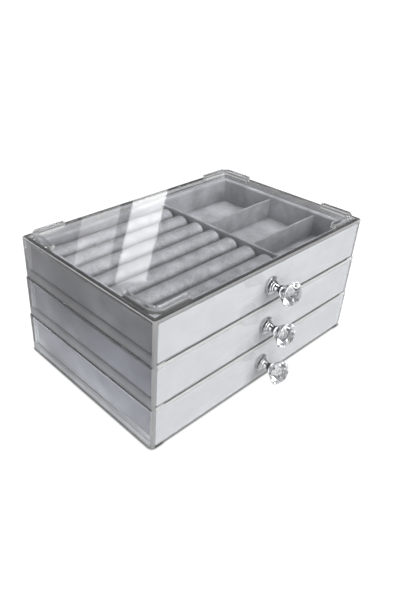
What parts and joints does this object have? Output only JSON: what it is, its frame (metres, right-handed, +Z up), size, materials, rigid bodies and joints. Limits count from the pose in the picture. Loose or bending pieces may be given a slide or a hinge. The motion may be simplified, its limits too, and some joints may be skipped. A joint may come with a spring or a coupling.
{
  "type": "jewelry storage box",
  "caption": "Clear stackable jewelry box with velvet-lined pull-out drawers, ring rolls, divided compartments and faceted crystal knobs.",
  "frame": {"origin": "middle of the footprint, on the surface that the lowest case stands on", "axes": "+Z up, +X to the right seen from the front, +Y to the back; the drawers pull out along -Y"},
  "size_m": [0.235, 0.1757, 0.1109],
  "materials": {
    "clear_case": "polished clear plastic",
    "clear_drawer": "polished clear plastic",
    "velvet": "grey velvet over board or foam",
    "velvet_card": "pale grey velvet over card",
    "chrome": "bright chrome plate",
    "crystal": "faceted clear crystal",
    "screw_steel": "zinc plated steel"
  },
  "bodies": {
    "case": {"bottom_case": "clear_case", "middle_case": "clear_case", "top_case": "clear_case"},
    "bottom_drawer": {"bottom_tray": "clear_drawer", "bottom_liner": "velvet", "bottom_front_panel": "clear_drawer", "bottom_front_card": "velvet_card", "bottom_knob_base": "chrome", "bottom_knob_crystal": "crystal", "bottom_knob_screw": "screw_steel", "bottom_divider": "velvet"},
    "middle_drawer": {"middle_tray": "clear_drawer", "middle_liner": "velvet", "middle_front_panel": "clear_drawer", "middle_front_card": "velvet_card", "middle_knob_base": "chrome", "middle_knob_crystal": "crystal", "middle_knob_screw": "screw_steel", "middle_long_divider": "velvet", "middle_left_divider": "velvet", "middle_right_divider": "velvet"},
    "top_drawer": {"top_tray": "clear_drawer", "top_liner": "velvet", "top_front_panel": "clear_drawer", "top_front_card": "velvet_card", "top_knob_base": "chrome", "top_knob_crystal": "crystal", "top_knob_screw": "screw_steel", "ring_roll_1": "velvet", "ring_roll_2": "velvet", "ring_roll_3": "velvet", "ring_roll_4": "velvet", "ring_roll_5": "velvet", "ring_roll_6": "velvet", "ring_roll_7": "velvet", "top_partition": "velvet", "top_front_divider": "velvet", "top_rear_divider": "velvet"}
  },
  "joints": [
    {"name": "bottom_drawer_slide", "type": "slide", "parent": "case", "child": "bottom_drawer", "axis": [0, -1, 0], "range_m": [0, 0.115]},
    {"name": "middle_drawer_slide", "type": "slide", "parent": "case", "child": "middle_drawer", "axis": [0, -1, 0], "range_m": [0, 0.115]},
    {"name": "top_drawer_slide", "type": "slide", "parent": "case", "child": "top_drawer", "axis": [0, -1, 0], "range_m": [0, 0.115]}
  ]
}
